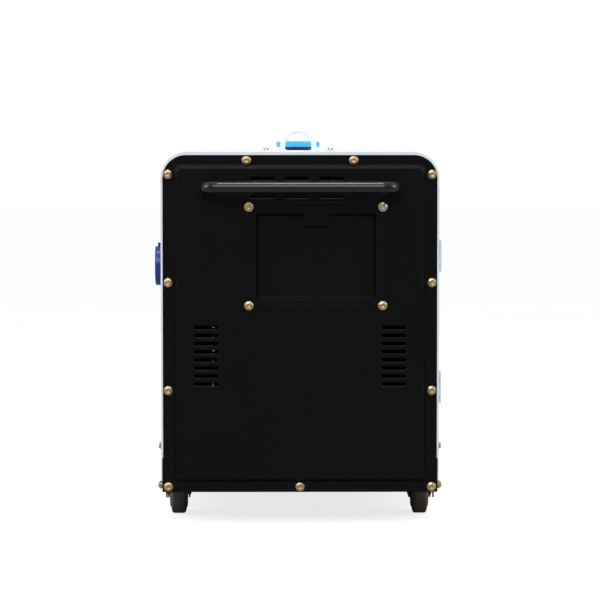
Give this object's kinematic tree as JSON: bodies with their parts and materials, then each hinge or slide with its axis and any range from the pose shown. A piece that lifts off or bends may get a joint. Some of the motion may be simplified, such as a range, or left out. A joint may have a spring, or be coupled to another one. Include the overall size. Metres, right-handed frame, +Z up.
{
  "type": "portable generator",
  "caption": "Silent diesel generator set in a white steel canopy on casters, with black end panels, carry handles, service doors, sockets and a lifting ring.",
  "frame": {"origin": "on the floor under the middle of the canopy", "axes": "+Z up, +Y along the canopy away from the vented end panel, +X across it away from the control panel"},
  "size_m": [0.559, 1.052, 0.745],
  "materials": {
    "black_coat": "satin black powder coat",
    "white_coat": "satin white powder coat",
    "grey_coat": "dark grey paint",
    "gold_zinc": "yellow zinc plating",
    "zinc_steel": "clear zinc plating",
    "foam": "open-cell acoustic foam",
    "tyre_rubber": "dull solid tyre",
    "mount_rubber": "dull",
    "blue_plastic": "satin blue",
    "cap_plastic": "satin sky blue",
    "dark_plastic": "fine grain",
    "grey_plastic": "fine grain",
    "red_plastic": "gloss",
    "lamp_lens": "clear gloss",
    "brass": "dull",
    "cast_iron": "painted casting",
    "cast_aluminium": "as cast",
    "steel": "machined",
    "hot_steel": "heat-resistant aluminium paint"
  },
  "bodies": {
    "set": {"base_tray": "black_coat", "canopy_frame": "black_coat", "roof_panel": "white_coat", "left_side_panel": "white_coat", "right_side_panel": "white_coat", "rear_end_panel": "black_coat", "front_end_panel": "black_coat", "rear_access_cover": "black_coat", "rear_handle": "black_coat", "front_handle": "black_coat", "lifting_ring": "white_coat", "roof_foam": "foam", "gold_screws": "gold_zinc", "door_hinges": "white_coat", "control_panel": "grey_coat", "main_socket": "blue_plastic", "small_sockets": "grey_plastic", "meters": "dark_plastic", "breaker": "dark_plastic", "switch_bezels": "zinc_steel", "indicator_lamps": "lamp_lens", "terminals": "brass", "caster_brackets": "black_coat", "engine_block": "cast_iron", "cylinder": "cast_aluminium", "blower_housing": "grey_coat", "alternator_housing": "cast_aluminium", "engine_bed": "black_coat", "rubber_mounts": "mount_rubber", "starter_motor": "grey_coat", "air_cleaner": "dark_plastic", "fuel_tank": "dark_plastic", "muffler": "hot_steel", "battery": "dark_plastic"},
    "left_door": {"left_door": "white_coat", "left_door_foam": "foam"},
    "left_latch": {"left_door_latch": "dark_plastic"},
    "right_door": {"right_door": "white_coat", "right_door_foam": "foam"},
    "right_latch": {"right_door_latch": "dark_plastic"},
    "main_lid": {"main_socket_lid": "blue_plastic"},
    "rear_lid": {"rear_small_socket_lid": "grey_plastic"},
    "front_lid": {"front_small_socket_lid": "grey_plastic"},
    "lever": {"breaker_lever": "grey_plastic"},
    "key": {"ignition_key": "steel"},
    "stop": {"stop_button": "red_plastic"},
    "rear_left_wheel": {"fixed_wheel_left": "tyre_rubber"},
    "rear_right_wheel": {"fixed_wheel_right": "tyre_rubber"},
    "left_fork": {"swivel_fork_left": "black_coat"},
    "right_fork": {"swivel_fork_right": "black_coat"},
    "front_left_wheel": {"swivel_wheel_left": "tyre_rubber"},
    "front_right_wheel": {"swivel_wheel_right": "tyre_rubber"},
    "left_brake": {"brake_pedal_left": "zinc_steel"},
    "right_brake": {"brake_pedal_right": "zinc_steel"},
    "crank_train": {"crankshaft": "steel", "flywheel_fan": "cast_aluminium", "alternator_rotor": "steel"},
    "cap": {"fuel_cap": "cap_plastic"},
    "oil_dipstick": {"dipstick": "steel"}
  },
  "joints": [
    {"name": "left_door_hinge", "type": "hinge", "parent": "set", "child": "left_door", "pos_m": [-0.264, 0.404, 0.3], "axis": [0, 0, -1], "range_deg": [0, 110]},
    {"name": "left_latch_turn", "type": "hinge", "parent": "left_door", "child": "left_latch", "pos_m": [-0.262, 0.01, 0.376], "axis": [1, 0, 0], "range_deg": [-90, 0]},
    {"name": "right_door_hinge", "type": "hinge", "parent": "set", "child": "right_door", "pos_m": [0.264, -0.404, 0.3], "axis": [0, 0, -1], "range_deg": [0, 110]},
    {"name": "right_latch_turn", "type": "hinge", "parent": "right_door", "child": "right_latch", "pos_m": [0.262, -0.01, 0.376], "axis": [-1, 0, 0], "range_deg": [-90, 0]},
    {"name": "main_lid_hinge", "type": "hinge", "parent": "set", "child": "main_lid", "pos_m": [-0.264, -0.24, 0.519], "axis": [0, 1, 0], "range_deg": [0, 110], "stiffness_Nm_per_rad": 0.03, "springref_deg": -34.38},
    {"name": "rear_lid_hinge", "type": "hinge", "parent": "set", "child": "rear_lid", "pos_m": [-0.257, -0.345, 0.505], "axis": [0, 1, 0], "range_deg": [0, 100], "stiffness_Nm_per_rad": 0.012, "springref_deg": -34.38},
    {"name": "front_lid_hinge", "type": "hinge", "parent": "set", "child": "front_lid", "pos_m": [-0.257, -0.135, 0.505], "axis": [0, 1, 0], "range_deg": [0, 100], "stiffness_Nm_per_rad": 0.012, "springref_deg": -34.38},
    {"name": "breaker_rock", "type": "hinge", "parent": "set", "child": "lever", "pos_m": [-0.2563, -0.335, 0.38], "axis": [0, 1, 0], "range_deg": [-18, 18]},
    {"name": "key_turn", "type": "hinge", "parent": "set", "child": "key", "pos_m": [-0.26, -0.13, 0.562], "axis": [1, 0, 0], "range_deg": [0, 60]},
    {"name": "stop_press", "type": "slide", "parent": "set", "child": "stop", "axis": [1, 0, 0], "range_m": [0, 0.004], "stiffness_N_per_m": 400, "springref_m": -0.002},
    {"name": "rear_left_wheel_spin", "type": "hinge", "parent": "set", "child": "rear_left_wheel", "pos_m": [-0.232, -0.3, 0.04], "axis": [1, 0, 0], "continuous": true},
    {"name": "rear_right_wheel_spin", "type": "hinge", "parent": "set", "child": "rear_right_wheel", "pos_m": [0.232, -0.3, 0.04], "axis": [1, 0, 0], "continuous": true},
    {"name": "left_fork_swivel", "type": "hinge", "parent": "set", "child": "left_fork", "pos_m": [-0.18, 0.372, 0.088], "axis": [0, 0, 1], "continuous": true},
    {"name": "right_fork_swivel", "type": "hinge", "parent": "set", "child": "right_fork", "pos_m": [0.18, 0.372, 0.088], "axis": [0, 0, 1], "continuous": true},
    {"name": "front_left_wheel_spin", "type": "hinge", "parent": "left_fork", "child": "front_left_wheel", "pos_m": [-0.18, 0.347, 0.04], "axis": [1, 0, 0], "continuous": true},
    {"name": "front_right_wheel_spin", "type": "hinge", "parent": "right_fork", "child": "front_right_wheel", "pos_m": [0.18, 0.347, 0.04], "axis": [1, 0, 0], "continuous": true},
    {"name": "left_brake_press", "type": "hinge", "parent": "left_fork", "child": "left_brake", "pos_m": [-0.16, 0.33, 0.05], "axis": [1, 0, 0], "range_deg": [0, 17]},
    {"name": "right_brake_press", "type": "hinge", "parent": "right_fork", "child": "right_brake", "pos_m": [0.2, 0.33, 0.05], "axis": [1, 0, 0], "range_deg": [0, 17]},
    {"name": "crank_turn", "type": "hinge", "parent": "set", "child": "crank_train", "pos_m": [0, 0, 0.29], "axis": [0, 1, 0], "continuous": true},
    {"name": "cap_lift", "type": "slide", "parent": "set", "child": "cap", "axis": [0, 0, 1], "range_m": [0, 0.06]},
    {"name": "dipstick_pull", "type": "slide", "parent": "set", "child": "oil_dipstick", "axis": [0, 0, 1], "range_m": [0, 0.085]}
  ]
}
